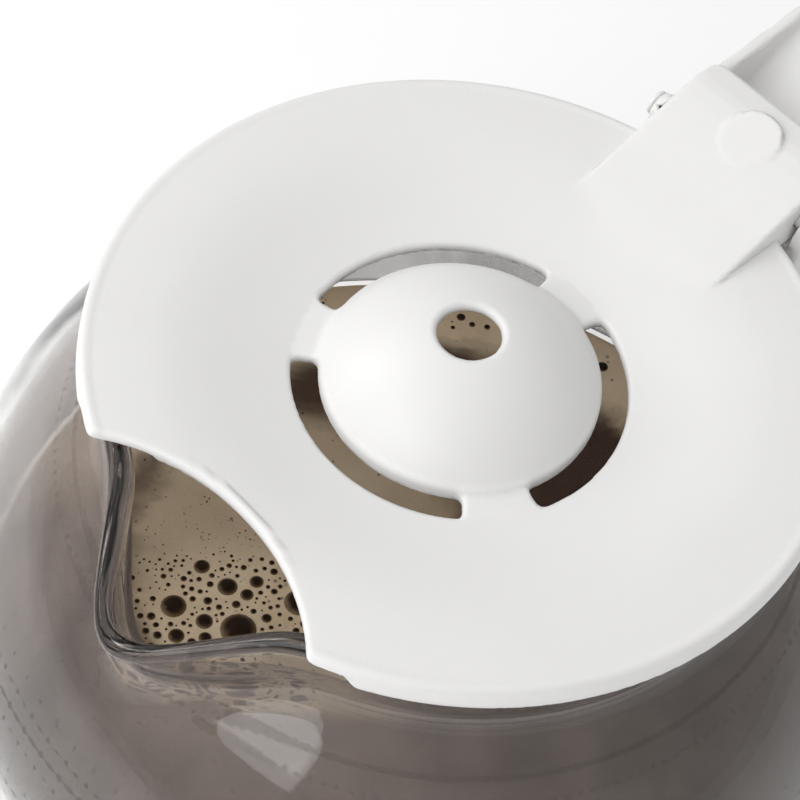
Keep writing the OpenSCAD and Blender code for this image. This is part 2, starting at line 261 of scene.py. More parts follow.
# ---------------------------------------------------------------- shader helpers
class Nodes:
    """Adds nodes to one tree and links them."""

    def __init__(self, tree):
        self.tree = tree

    def add(self, kind, inputs=None, **settings):
        node = self.tree.nodes.new(kind)
        for key, value in settings.items():
            setattr(node, key, value)
        for key, value in (inputs or {}).items():
            socket = node.inputs[key]
            if isinstance(value, bpy.types.NodeSocket):
                self.tree.links.new(value, socket)
            elif socket.type == "RGBA" and len(value) == 3:
                socket.default_value = (*value, 1)
            else:
                socket.default_value = value
        return node

    def link(self, output, node, name):
        self.tree.links.new(output, node.inputs[name])

    def math(self, operation, a, b=None):
        values = {0: a} if b is None else {0: a, 1: b}
        return self.add("ShaderNodeMath", values, operation=operation).outputs[0]

    def times(self, a, b):
        return self.math("MULTIPLY", a, b)

    def plus(self, a, b):
        return self.math("ADD", a, b)

    def stretched(self, vector, factors):
        return self.add("ShaderNodeVectorMath", {0: vector, 1: factors}, operation="MULTIPLY").outputs[0]

    def noise(self, vector, scale, detail=3.0, roughness=0.5, distortion=0.0):
        return self.add(
            "ShaderNodeTexNoise",
            {
                "Vector": vector,
                "Scale": scale,
                "Detail": detail,
                "Roughness": roughness,
                "Distortion": distortion,
            },
        ).outputs[0]

    def ramp(self, value, low, high, to_low=0.0, to_high=1.0, kind="SMOOTHSTEP"):
        return self.add(
            "ShaderNodeMapRange",
            {"Value": value, "From Min": low, "From Max": high, "To Min": to_low, "To Max": to_high},
            interpolation_type=kind,
        ).outputs[0]

    def bump(self, shader, height, strength, distance):
        values = {"Height": height, "Strength": strength, "Distance": distance}
        self.link(self.add("ShaderNodeBump", values).outputs[0], shader, "Normal")

    def mix(self, factor, a, b):
        node = self.tree.nodes.new("ShaderNodeMix")
        node.data_type = "RGBA"
        for socket, value in zip((node.inputs[0], node.inputs[6], node.inputs[7]), (factor, a, b)):
            if isinstance(value, bpy.types.NodeSocket):
                self.tree.links.new(value, socket)
            elif socket.type == "RGBA":
                socket.default_value = (*value[:3], 1)
            else:
                socket.default_value = value
        return node.outputs[2]


def node_group(name, inputs, outputs):
    """An empty shader group with named sockets, its helper, and its input and output nodes."""
    tree = bpy.data.node_groups.new(name, "ShaderNodeTree")
    for label, kind, value in inputs:
        socket = tree.interface.new_socket(label, in_out="INPUT", socket_type=kind)
        if value is not None:
            socket.default_value = value
    for label, kind in outputs:
        tree.interface.new_socket(label, in_out="OUTPUT", socket_type=kind)
    n = Nodes(tree)
    return tree, n, n.add("NodeGroupInput"), n.add("NodeGroupOutput")


FLOAT, COLOUR, VECTOR = "NodeSocketFloat", "NodeSocketColor", "NodeSocketVector"


def moulding_group():
    """Moulded plastic: cloudy tone, faint flow marks, handling gloss and a fine grain."""
    tree, n, given, out = node_group(
        "Moulded plastic",
        [
            ("Vector", VECTOR, None),
            ("Colour", COLOUR, (0.8, 0.8, 0.8, 1)),
            ("Shade", COLOUR, (0.7, 0.7, 0.7, 1)),
            ("Roughness", FLOAT, 0.4),
            ("Grain", FLOAT, 1.0),
        ],
        [("Colour", COLOUR), ("Roughness", FLOAT), ("Height", FLOAT)],
    )
    vector = given.outputs["Vector"]
    cloud = n.ramp(n.noise(vector, 22.0, 3.0, 0.55), 0.3, 0.7)
    flow = n.noise(n.stretched(vector, (1.0, 3.0, 0.4)), 60.0, 4.0, 0.6, 0.6)
    fine = n.noise(vector, 5200.0, 2.0, 0.6)
    coarse = n.noise(vector, 1500.0, 2.0, 0.5)
    smear = n.ramp(n.noise(vector, 130.0, 5.0, 0.65, 0.8), 0.48, 0.75)
    tone = n.times(n.plus(cloud, flow), 0.5)
    n.link(n.mix(tone, given.outputs["Shade"], given.outputs["Colour"]), out, "Colour")
    rough = n.plus(given.outputs["Roughness"], n.times(smear, 0.07))
    rough = n.plus(rough, n.times(n.math("SUBTRACT", fine, 0.5), 0.08))
    n.link(rough, out, "Roughness")
    height = n.plus(n.times(fine, 0.55), n.times(coarse, 0.45))
    n.link(n.times(height, given.outputs["Grain"]), out, "Height")
    return tree


def brushed_group():
    """Metal: fine lines along one way, blotches and small pits."""
    tree, n, given, out = node_group(
        "Worked metal",
        [
            ("Vector", VECTOR, None),
            ("Stretch", VECTOR, (1, 1, 30)),
            ("Colour", COLOUR, (0.6, 0.6, 0.6, 1)),
            ("Dull", COLOUR, (0.4, 0.4, 0.4, 1)),
            ("Roughness", FLOAT, 0.3),
        ],
        [("Colour", COLOUR), ("Roughness", FLOAT), ("Height", FLOAT)],
    )
    vector = given.outputs["Vector"]
    along = n.stretched(vector, given.outputs["Stretch"])
    lines = n.noise(along, 260.0, 4.0, 0.7)
    blotch = n.ramp(n.noise(vector, 190.0, 4.0, 0.6, 0.5), 0.35, 0.72)
    pits = n.ramp(n.noise(vector, 2600.0, 1.0, 0.5), 0.66, 0.74)
    n.link(n.mix(blotch, given.outputs["Colour"], given.outputs["Dull"]), out, "Colour")
    rough = n.plus(given.outputs["Roughness"], n.times(n.plus(blotch, lines), 0.12))
    n.link(rough, out, "Roughness")
    n.link(n.math("SUBTRACT", lines, n.times(pits, 0.8)), out, "Height")
    return tree


def water_marks_group():
    """Mist on glass: soft clouds, vertical runs and cleared patches, as one mask and one height."""
    tree, n, given, out = node_group(
        "Mist on glass",
        [("Vector", VECTOR, None), ("Cover", FLOAT, 0.5)],
        [("Mask", FLOAT), ("Height", FLOAT)],
    )
    vector = given.outputs["Vector"]
    tall = n.stretched(vector, (1, 1, 0.16))
    runs = n.noise(tall, 95.0, 5.0, 0.6, 0.5)
    cloud = n.noise(vector, 28.0, 4.0, 0.55, 0.8)
    beads = n.noise(vector, 1600.0, 2.0, 0.6)
    mask = n.plus(n.times(runs, 0.45), n.times(cloud, 0.55))
    mask = n.plus(mask, n.math("SUBTRACT", given.outputs["Cover"], 0.5))
    n.link(n.ramp(mask, 0.34, 0.66), out, "Mask")
    n.link(n.plus(beads, n.times(runs, 0.5)), out, "Height")
    return tree


GROUPS = {}


def group(name):
    if name not in GROUPS:
        GROUPS[name] = {"moulding": moulding_group, "metal": brushed_group, "mist": water_marks_group}[name]()
    return GROUPS[name]


def new_material(name):
    material = bpy.data.materials.new(name)
    material.use_nodes = True
    material.node_tree.nodes.clear()
    n = Nodes(material.node_tree)
    shader = n.add("ShaderNodeBsdfPrincipled")
    output = n.add("ShaderNodeOutputMaterial")
    n.tree.links.new(shader.outputs[0], output.inputs["Surface"])
    place = n.add("ShaderNodeTexCoord").outputs["Object"]
    return material, n, shader, place


def set_values(shader, **values):
    for key, value in values.items():
        socket = shader.inputs[key.replace("_", " ")]
        socket.default_value = (*value, 1) if socket.type == "RGBA" else value


def with_group(name, kind, strength, distance, **values):
    """A material whose colour, roughness and bump come from a shared group with its own values."""
    material, n, shader, place = new_material(name)
    made = n.add("ShaderNodeGroup", node_tree=group(kind))
    n.link(place, made, "Vector")
    set_values(made, **values)
    n.link(made.outputs["Colour"], shader, "Base Color")
    n.link(made.outputs["Roughness"], shader, "Roughness")
    n.bump(shader, made.outputs["Height"], strength, distance)
    return material, shader


def plastic(name, colour, shade, roughness, grain=1.0, subsurface=0.0):
    material, shader = with_group(
        name, "moulding", 0.25, 0.00006, Colour=colour, Shade=shade, Roughness=roughness, Grain=grain
    )
    set_values(shader, IOR=1.49)
    if subsurface:
        depth = (0.004, 0.0036, 0.0032)
        set_values(shader, Subsurface_Weight=subsurface, Subsurface_Radius=depth, Subsurface_Scale=0.5)
    return material


def metal(name, colour, dull, roughness, stretch):
    material, shader = with_group(
        name, "metal", 0.2, 0.00005, Stretch=stretch, Colour=colour, Dull=dull, Roughness=roughness
    )
    set_values(shader, Metallic=1.0)
    return material


def rubber(name, colour, shade):
    material, shader = with_group(
        name, "moulding", 0.4, 0.0001, Colour=colour, Shade=shade, Roughness=0.55, Grain=1.6
    )
    set_values(shader, IOR=1.41, Sheen_Weight=0.15)
    return material


def give(obj, material):
    obj.data.materials.clear()
    obj.data.materials.append(material)


# ---------------------------------------------------------------- settings
def length(name, description, default):
    return bpy.props.FloatProperty(name=name, description=description, default=default, unit="LENGTH")


def colour(name, description, default):
    return bpy.props.FloatVectorProperty(
        name=name, description=description, default=default, size=3, subtype="COLOR"
    )


class CarafeLid(bpy.types.PropertyGroup):
    rim_radius: length("Rim radius", "Radius of the lid's top rim", 0.060)
    plate: length("Plate", "Thickness of the moulded plate", 0.002)
    skirt: length("Skirt", "Depth of the outer skirt", 0.0042)
    hole: length("Drip hole", "Radius of the hole in the dome", 0.0051)
    notch: length("Notch", "Radius of the arc cut out over the spout", 0.0388)
    strap_half: length("Strap half width", "Half the width of the strap", 0.0151)
    step: length("Mesh step", "Size of the mesh's squares", 0.00078)
    colour: colour("White", "Colour of the white moulding", (0.83, 0.825, 0.815))
    shade: colour("White, shaded", "The moulding's second tone", (0.8, 0.795, 0.785))


class CarafeHandle(bpy.types.PropertyGroup):
    arm_half: length("Arm half width", "Half the width at the hinge", 0.018)
    grip_half: length("Grip half width", "Half the width of the grip", 0.014)
    rounding: length("Grip rounding", "Rounding of the grip's long edges", 0.009)
    step: length("Mesh step", "Size of the mesh's squares", 0.001)


class CarafeGlass(bpy.types.PropertyGroup):
    wall: length("Wall", "Thickness of the glass", 0.0024)
    spout_wall: length("Spout wall", "Thickness of the glass in the spout", 0.0038)
    around: bpy.props.IntProperty(name="Around", description="Mesh columns around the jug", default=288)
    coffee_level: length("Coffee level", "Height of the coffee above the base", 0.055)
    coffee: colour("Coffee", "Colour of the liquid", (0.018, 0.008, 0.004))
    foam: colour("Foam", "Colour of the foam", (0.93, 0.77, 0.57))
    mist: colour("Mist", "Colour of the mist on the glass", (0.225, 0.18, 0.162))


class CarafeStage(bpy.types.PropertyGroup):
    lens: length("Lens", "Focal length", 0.099)
    distance: length("Distance", "From the lid's centre to the camera", 0.3438)
    floor: length("Floor", "Radius of the floor", 3.0)


# ---------------------------------------------------------------- the lid
def lid_field(s):
    """Distance to the moulded lid, with level 0 at its top rim."""
    rim, plate, skirt = s.rim_radius / MM, s.plate / MM, s.skirt / MM
    half = plate / 2
    dome_r = 27.7
    dome_mid = 6.2 - np.sqrt(dome_r**2 - (s.hole / MM) ** 2)
    a0, a1 = np.degrees(np.arccos((s.hole / MM + half) / (dome_r - half))), 33.6
    dome = arc(0, dome_mid, dome_r - half, a0, a1, 16)
    funnel = curve_through(
        [(27.2, -6.3), (34, -4.55), (41.2, -2.65), (47.1, -1.5), (52, -1.12), (56, -1.0),
         (rim - 1.3, -1.0)], 4
    )
    plate_path = dome + [(21.9, -6.3)] + [tuple(p) for p in funnel]
    wall = [(rim - 1.15, -1.05), (rim - 0.86, -skirt + 1.15)]
    ring = [(52.1, -1.5), (52.1, -10.2)]
    strap = np.array(
        [(35.5, -5.6), (35.5, -3.3), (44, 0.1), (52.5, 3.0), (60, 5.9), (64, 7.3), (67, 8.1),
         (69, 8.3), (73, 8.3), (74, 7.6), (74, 6.6), (73.3, 6.3), (68, 6.3), (67.5, 3), (66, -2),
         (63, -3.3), (58.4, -3.3), (58.4, -2.2), (50, -2.2)]
    )
    hollow = np.array(
        [(49, -14), (49, -1.2), (54, 0.9), (60, 3.6), (64, 5.1), (68, 6.3), (80, 6), (80, -14)]
    )
    notch_r = s.notch / MM
    notch_x = -45.7 - notch_r
    strap_half = s.strap_half / MM
    strap_in = strap_half - 2.6
    slot_half = np.radians(47.0)
    corner = 3.0

    def field(p):
        x, y, z = p[:, 0], p[:, 1], p[:, 2]
        r = np.hypot(x, y)
        shell = path_distance(r, z, plate_path) - half
        outer = path_distance(r, z, wall) - 1.15
        shell = smooth_min(shell, outer, 0.5)
        inner_ring = np.maximum(path_distance(r, z, ring) - 0.8, -36.0 - x)
        shell = smooth_min(shell, inner_ring, 0.8)
        notch = np.hypot(x - notch_x, y) - notch_r
        lip = smooth_max(np.abs(notch - 0.8) - 0.8, np.abs(z + 1.75) - 1.25, 0.5)
        lip = smooth_max(lip, r - 52.0, 1.0)
        shell = smooth_min(shell, lip, 0.4)
        shell = smooth_max(shell, -notch, 0.9)
        # the skirt stops short beside the spout
        raised = smooth_max(x + 51.2, z + 1.9, 0.2)
        shell = smooth_max(shell, -raised, 0.2)
        # small fillet where the dome meets the funnel
        shell = smooth_min(shell, np.hypot(r - 22.2, z + 5.3) - 0.4, 1.4)
        # three arc slots round the dome
        for turn in (60, 180, 300):
            c, q = np.cos(np.radians(turn)), np.sin(np.radians(turn))
            u, w = x * c + y * q, np.abs(y * c - x * q)
            end = w * np.cos(slot_half) - u * np.sin(slot_half)
            slot = smooth_max(np.abs(r - 24.8) - 2.2, np.where(u > -5, end, 50.0), 1.6)
            slot = np.maximum(slot, np.abs(z + 7) - 7)
            shell = smooth_max(shell, -slot, 0.7)
        # open frame under the strap
        window = np.maximum(np.abs(y) - strap_in, 49.0 - x)
        shell = np.maximum(shell, -window)
        across, along = np.abs(y) - strap_half + corner, x - 74.0 + corner
        outside = np.hypot(np.maximum(across, 0), np.maximum(along, 0))
        plan = np.minimum(np.maximum(across, along), 0) + outside - corner
        side = smooth_max(outline_distance(x, z, strap), plan, 0.7)
        room = np.maximum(outline_distance(x, z, hollow), np.abs(y) - strap_in)
        side = smooth_max(side, -room, 0.3)
        under = [(0, -20), (0, -9.95), (27, -8.95), (51.2, -2.55), (51.2, -20)]
        below = outline_distance(r, z, under)
        side = np.maximum(side, -below)
        shell = smooth_min(shell, side, 0.35)
        slant = z - 5.5 - 0.41 * (x - 59.0)
        nub = smooth_max(np.hypot(x - 64.6, y + 0.5) - 5.3, smooth_max(slant, z - 9.85, 0.5), 0.8)
        nub = np.maximum(nub, 4.9 + 0.22 * (x - 59.0) - z)
        shell = smooth_min(shell, nub, 0.5)
        shell = np.maximum(shell, -pin_distance(p, HINGE[0], HINGE[2], PIN_R))
        return shell

    return field


class CARAFE_OT_lid(bpy.types.Operator):
    """Builds the white moulded lid with its dome, slots, notch, strap and thumb nub"""

    bl_idname = "carafe.lid"
    bl_label = "Lid"

    def execute(self, context):
        s = context.scene.carafe_lid
        lid = net_object("lid_shell", lid_field(s), (-57, -62, -12), (76, 62, 11.5), s.step / MM)
        give(lid, plastic("Lid white", tuple(s.colour), tuple(s.shade), 0.42, 1.0, 0.25))
        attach(lid, "lid")
        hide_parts("lid")
        return {"FINISHED"}


# ---------------------------------------------------------------- the handle
def cover_outline(inner, outer, turn):
    """A strip along the inside of the grip that follows both corners, with turn in degrees."""
    there = arc(*LOWER_BEND, inner, -turn, 0, 6) + arc(*UPPER_BEND, inner, 0, turn, 6)
    back = arc(*UPPER_BEND, outer, turn, 0, 6) + arc(*LOWER_BEND, outer, 0, -turn, 6)
    return np.array(there + back)


def handle_field(s, strap_half):
    """Distance to the handle's moulding, with level 0 at the lid's top rim."""
    arm, grip, rounding = s.arm_half / MM, s.grip_half / MM, s.rounding / MM
    outline = np.array(
        [(60.8, -5)] + arc(HINGE[0], HINGE[2], 2.7, 180, 22, 12) + [(68, 1.1), (73, 1.1), (100, 4.1)]
        + arc(104, -25.2, 30, 80, 0, 12) + arc(104, -78, 30, 0, -80, 12)
        + [(84.5, -108), (84.5, -92)] + arc(*LOWER_BEND, COVER_R, -80, 0, 8)
        + arc(*UPPER_BEND, COVER_R, 0, 75, 8)
        + [(90, -8.4), (76, -15), (67, -20), (60.4, -18.5), (60.4, -6)]
    )
    scoop = [
        (66, -6.5), (84, -6.2), (86.6, -5.4), (92.6, -1.4), (98.3, 1), (106, 6), (106, 14), (66, 14)
    ]
    cavity = np.array(arc(*LOWER_BEND, COVER_R, -36, 0, 4) + arc(*UPPER_BEND, COVER_R, 0, 36, 4)
                      + arc(104, -22, 26.5, 36, 0, 4) + arc(104, -76, 26.5, 0, -36, 4))
    seat = cover_outline(19.6, 22.9, 37)
    room = strap_half / MM + 0.5
    eye_half = strap_half / MM - 3.1

    def field(p):
        x, y, z = p[:, 0], p[:, 1], p[:, 2]
        half = arm + (grip - arm) * smoothstep(98, 120, x)
        k = 0.9 + (rounding - 0.9) * smoothstep(101, 124, x)
        k = np.where(z < -60, np.maximum(k, 6.0), k)
        body = smooth_max(outline_distance(x, z, outline), np.abs(y) - half, k)
        inside = body + 1.9
        pit = np.maximum(pin_distance(p, HINGE[0], HINGE[2], 13.8), 64.6 - x)
        body = smooth_max(body, -np.maximum(pit, np.abs(y) - room), 0.6)
        taper = room - (room - 12.0) * smoothstep(97, 111, x)
        trough = smooth_max(outline_distance(x, z, scoop), np.abs(y) - taper, 1.2)
        body = smooth_max(body, -trough, 0.7)
        gap = np.maximum(np.maximum(x - 64.6, -3.6 - z), np.maximum(55 - x, np.abs(y) - room))
        body = smooth_max(body, -gap, 0.4)
        eye = np.maximum(pin_distance(p, HINGE[0], HINGE[2], 2.8), np.abs(y) - eye_half)
        foot = outline_distance(x, z, [(61.2, 1.2), (61, -3.2), (60.6, -5), (64.6, -5), (64.9, 0)])
        body = smooth_min(body, np.minimum(eye, np.maximum(foot, np.abs(y) - eye_half)), 0.4)
        hollow = np.maximum(outline_distance(x, z, cavity), np.abs(y) - grip + 2.5)
        body = np.maximum(body, -np.maximum(hollow, inside))
        body = smooth_max(body, -np.maximum(outline_distance(x, z, seat), np.abs(y) - grip + 2.5), 0.4)
        ears = np.maximum(np.maximum(np.abs(y) - 5, np.abs(x - 90) - 10), np.abs(z + 100) - 7)
        body = smooth_max(body, -ears, 0.4)
        bolt = pin_distance(p, *CLAMP_BOLT, 2.1)
        pocket = np.maximum(pin_distance(p, *CLAMP_BOLT, 4.2), 10 - np.abs(y))
        body = smooth_max(body, -np.minimum(bolt, pocket), 0.5)
        return np.maximum(body, -pin_distance(p, HINGE[0], HINGE[2], 1.55))

    return field


def cover_field(s):
    """Distance to the thin cover on the inside of the grip, with its two screw seats."""
    half = s.grip_half / MM - 2.65
    outline = cover_outline(20.05, 22.8, 35.6)

    def field(p):
        x, y, z = p[:, 0], p[:, 1], p[:, 2]
        body = smooth_max(outline_distance(x, z, outline), np.abs(y) - half, 1.0)
        for at in COVER_SCREWS:
            off = np.hypot(y, z - at)
            body = smooth_max(body, -np.maximum(off - 3.0, x - 119.2), 0.5)
            body = np.maximum(body, 1.6 - off)
        return body

    return field


class CARAFE_OT_handle(bpy.types.Operator):
    """Builds the white handle with its trough and knuckle, and the cover on the inside of the grip"""

    bl_idname = "carafe.handle"
    bl_label = "Handle"

    def execute(self, context):
        s, lid = context.scene.carafe_handle, context.scene.carafe_lid
        white = plastic("Handle white", tuple(lid.colour), tuple(lid.shade), 0.4, 1.0, 0.2)
        low, high = (58.5, -19.5, -110), (136, 19.5, 7)
        shell = net_object("handle_moulding", handle_field(s, lid.strap_half), low, high, s.step / MM)
        give(shell, white)
        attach(shell, "jug")
        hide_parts("handle_shell")
        cover = net_object("grip_cover", cover_field(s), (112, -13.5, -86), (123, 13.5, -14), 0.6)
        give(cover, plastic("Cover white", (0.78, 0.775, 0.765), (0.74, 0.735, 0.725), 0.5, 1.4))
        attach(cover, "jug")
        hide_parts("handle_cover")
        return {"FINISHED"}


# ---------------------------------------------------------------- hinge pin
class CARAFE_OT_pin(bpy.types.Operator):
    """Builds the hinge pin's rounded head and cap"""

    bl_idname = "carafe.pin"
    bl_label = "Hinge pin"

    def execute(self, context):
        white = plastic("Pin white", (0.82, 0.81, 0.79), (0.78, 0.77, 0.75), 0.33, 0.6, 0.2)
        centre = (HINGE[0], 0, LID_Z + HINGE[2])
        head = [
            (2.1, 18.05), (2.3, 18.2), (2.3, 18.5), (2.2, 18.7), (1.95, 18.84), (1.5, 18.92), (0.8, 18.95)
        ]
        bar = [(PIN_R, -PIN_END), (PIN_R, 0), (PIN_R, head[0][1])]
        pin = turned_object("hinge_pin_body", bar + head, PIN_SIDES, centre)
        cap_profile = [(r, -h) for r, h in reversed(head)]
        cap = turned_object("hinge_pin_cap", cap_profile, PIN_SIDES, centre, (True, False))
        close_cap(cap, PIN_SIDES)
        for piece, node in ((pin, "hinge_pin"), (cap, "pin_cap")):
            give(piece, white)
            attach(piece, "lid")
            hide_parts(node)
        return {"FINISHED"}


def close_cap(obj, sides):
    """Gives the cap a flat inner face with a short bore for the pin's end."""
    points = [tuple(np.array(v.co) / MM) for v in obj.data.vertices]
    faces = [tuple(p.vertices) for p in obj.data.polygons]
    rim = sides * (len(points) // sides - 1)
    centre = np.array([HINGE[0], 0, LID_Z + HINGE[2]])
    rings = [(PIN_R, -18.05), (PIN_R, -PIN_END)]
    start = len(points)
    for r, y in rings:
        for a in 2 * np.pi * np.arange(sides) / sides:
            points.append((centre[0] + r * np.sin(a), y, centre[2] + r * np.cos(a)))
    order = [rim, start, start + sides]
    for lower, upper in zip(order[:-1], order[1:]):
        faces += band(lower, upper, sides)
    points.append((centre[0], -PIN_END, centre[2]))
    last = start + sides
    faces += [(len(points) - 1, last + j, last + (j + 1) % sides) for j in range(sides)]
    old = obj.data
    mesh = bpy.data.meshes.new("hinge_pin_cap_mesh")
    mesh.from_pydata((np.array(points) * MM).tolist(), [], faces)
    mesh.polygons.foreach_set("use_smooth", [True] * len(mesh.polygons))
    obj.data = mesh
    bpy.data.meshes.remove(old)
    recalculate(obj)


# ---------------------------------------------------------------- glass
GLASS_TOP = LID_Z - 2.25
SPOUT_HALF = 38.0  # degrees either side of -X that the spout takes up
SHOULDER_Z = 104.0


def side_radius():
    """The jug's outer section as (radius, height), from the base corner to the top of the neck."""
    a = np.radians(np.linspace(0, 90, 61))
    lower = np.stack([58 + (BELLY_R - 58) * np.sin(a), BELLY_Z - BELLY_Z * np.cos(a)], 1)
    b = np.radians(np.linspace(1.5, 42, 28))
    upper = np.stack([BELLY_R * np.cos(b), BELLY_Z + BELLY_Z * np.sin(b)], 1)
    start = np.array([BELLY_R * np.cos(np.radians(43)), BELLY_Z + BELLY_Z * np.sin(np.radians(43))])
    mid, end = np.array([NECK_R, 117.0]), np.array([NECK_R, 121.0])
    t = np.linspace(0, 1, 13)[:, None]
    shoulder = (1 - t) ** 2 * start + 2 * t * (1 - t) * mid + t * t * end
    neck = np.array([(NECK_R, 124), (55.9, 127.5), (56.5, 130.5), (57.0, 132.4)])
    return np.vstack([lower, upper, shoulder, neck])


SECTION = side_radius()


def radius_at(z):
    return np.interp(z, SECTION[:, 1], SECTION[:, 0])


def spout_radius(phi):
    """Radius of the spout's V in plan, with phi in degrees from -X."""
    lean = np.clip(47.3 - np.sqrt(phi**2 + 22.0), -40.0, 80.0)
    return 50.95 / np.cos(np.radians(lean)) + 1.3 * np.exp(-(((phi + 1.4) / 9.0) ** 2))


def outer_radius(phi, z):
    """The glass's outside, at phi degrees from -X and height z."""
    plain = radius_at(z)
    near = smoothstep(SPOUT_HALF, 24.0, np.abs(phi))
    share = smoothstep(LID_Z - 36, LID_Z - 12, z) * near
    spout = spout_radius(np.clip(phi, -40.0, 40.0))
    return plain + share * (smooth_max(spout, plain, 3.0) - plain)


def lip_height(phi):
    """Height of the glass's top edge, which dips along the spout."""
    r = outer_radius(phi, np.full_like(phi, LID_Z - 8.0))
    x = r * np.cos(np.radians(phi))
    dip = np.tan(np.radians(25.0)) * smooth_max(x - 51.2, 0 * x, 3.0)
    return GLASS_TOP - dip - 1.1 * np.exp(-(((phi + 3.0) / 9.0) ** 2))


def round_angles(columns):
    return 360.0 * np.arange(columns) / columns - 180.0


def ring_points(phi, r, z):
    """A ring of points, with phi in degrees from -X."""
    return np.stack([-r * np.cos(np.radians(phi)), -r * np.sin(np.radians(phi)), z], 1)


def wall_slant(height):
    """How much wider the wall is when it is cut level than when it is cut square."""
    return np.interp(height, [0, 20, 67, 112, 121], [1.35, 1.1, 1.0, 1.45, 1.0])


def glass_grid(columns, spout_wall, wall):
    """Rings of (x, y, z) points from the base up the glass's outside and down its inside."""
    phi = round_angles(columns)
    top = lip_height(phi)
    near = smoothstep(SPOUT_HALF, 20.0, np.abs(phi))
    heights = np.concatenate([SECTION[:-4:2, 1], [121, 124, 127, 130]])
    heights = heights[heights < 130.5]
    rows = []

    def ring(r, z):
        rows.append(ring_points(phi, r, z))

    def lifted(h):
        # heights above the shoulder are squeezed so that they end at the lip
        share = (h - SHOULDER_Z) / (GLASS_TOP - SHOULDER_Z)
        return np.where(h <= SHOULDER_Z, h, SHOULDER_Z + share * (top - SHOULDER_Z))

    flare = 0.8 * near
    bead = wall * (1 - near) + spout_wall * near
    outside = list(heights)
    for h in outside:
        height = np.full(columns, float(h))
        z = lifted(height)
        push = flare * smoothstep(GLASS_TOP - 9, GLASS_TOP, height)
        ring(outer_radius(phi, z) + push, z)
    half = bead / 2
    for a in np.linspace(0, 180, 9):
        z_mid = top - half
        r_mid = outer_radius(phi, z_mid) + flare - half
        ring(r_mid + half * np.cos(np.radians(a)), z_mid + half * np.sin(np.radians(a)))
    for h in reversed(outside):
        if h < 5:
            continue
        height = np.full(columns, float(h))
        z = np.minimum(lifted(height), top - half * 1.2)
        thick = wall + (spout_wall - wall) * near * smoothstep(GLASS_TOP - 16, GLASS_TOP - 2, height)
        push = flare * smoothstep(GLASS_TOP - 9, GLASS_TOP, height)
        ring(outer_radius(phi, z) + push - thick * wall_slant(h), z)
    ring(np.full(columns, 58.0), np.full(columns, 3.9))
    ring(np.full(columns, 52.0), np.full(columns, 3.5))
    return rows


def rings_object(name, rows, close_bottom=0.0, close_inner=3.5):
    columns = len(rows[0])
    points = np.concatenate(rows)
    faces = []
    for i in range(len(rows) - 1):
        faces += band(i * columns, (i + 1) * columns, columns)
    ends = [(0, 0, close_bottom), (0, 0, close_inner)]
    points = np.vstack([points, ends])
    first, last = len(points) - 2, (len(rows) - 1) * columns
    for j in range(columns):
        k = (j + 1) % columns
        faces.append((first, k, j))
        faces.append((first + 1, last + j, last + k))
    obj = mesh_object(name, points, faces)
    recalculate(obj)
    return obj


def glass_material():
    material, n, shader, place = new_material("Clear glass")
    wide = n.noise(place, 26.0, 2.0, 0.45, 0.3)
    wipe = n.noise(n.stretched(place, (1, 1, 0.25)), 210.0, 4.0, 0.6, 0.6)
    dust = n.ramp(n.noise(place, 2300.0, 1.0), 0.68, 0.76)
    belly = n.ramp(n.add("ShaderNodeSeparateXYZ", {0: place}).outputs[2], 0.108, 0.118, 0.045, 0.0)
    rough = n.plus(n.ramp(wipe, 0.45, 0.8, 0.0, 0.03), n.times(dust, 0.03))
    rough = n.plus(rough, belly)
    n.link(rough, shader, "Roughness")
    height = n.plus(wide, n.times(wipe, 0.008))
    n.bump(shader, height, 0.25, 0.0014)
    set_values(shader, Base_Color=(0.97, 0.965, 0.955), IOR=1.47, Transmission_Weight=1.0)
    clear = n.add("ShaderNodeBsdfTransparent", {"Color": (0.94, 0.93, 0.91)})
    lamps = n.add("ShaderNodeLightPath").outputs["Is Shadow Ray"]
    mixed = n.add("ShaderNodeMixShader", {0: lamps, 1: shader.outputs[0], 2: clear.outputs[0]})
    output = next(x for x in n.tree.nodes if x.type == "OUTPUT_MATERIAL")
    n.tree.links.new(mixed.outputs[0], output.inputs["Surface"])
    return material


def mist_material(colour):
    material, n, shader, place = new_material("Mist inside the glass")
    mist = n.add("ShaderNodeGroup", node_tree=group("mist"))
    n.link(place, mist, "Vector")
    mist.inputs["Cover"].default_value = 0.55
    height = n.add("ShaderNodeSeparateXYZ", {0: place}).outputs[2]
    # Painted shade: below 80 mm the mist is 0.36 to 0.55 of its colour, and it reaches its full upper tone
    # (thick, 0.62 to 1.0 of its colour) by 114 mm.
    high = n.ramp(height, 0.08, 0.114)
    mask = mist.outputs["Mask"]
    low = n.mix(mask, tuple(c * 0.36 for c in colour), tuple(c * 0.55 for c in colour))
    thick = n.mix(mask, tuple(c * 0.62 for c in colour), colour)
    n.link(n.mix(high, low, thick), shader, "Base Color")
    edge_on = n.add("ShaderNodeLayerWeight", {"Blend": 0.35}).outputs["Facing"]
    cover = n.plus(n.ramp(mask, 0, 1, 0.26, 0.42, "LINEAR"), n.ramp(edge_on, 0.3, 1.0, 0.0, 0.4))
    n.link(cover, shader, "Alpha")
    n.link(n.ramp(mask, 0, 1, 0.3, 0.6, "LINEAR"), shader, "Roughness")
    n.bump(shader, mist.outputs["Height"], 0.03, 0.0003)
    set_values(shader, IOR=1.33)
    return material


class CARAFE_OT_glass(bpy.types.Operator):
    """Builds the glass jug with its spout"""

    bl_idname = "carafe.glass"
    bl_label = "Glass jug"

    def execute(self, context):
        s = context.scene.carafe_glass
        rows = glass_grid(s.around, s.spout_wall / MM, s.wall / MM)
        jug = rings_object("jug_glass", rows)
        give(jug, glass_material())
        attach(jug, "jug")
        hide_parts("glass_jug")
        return {"FINISHED"}


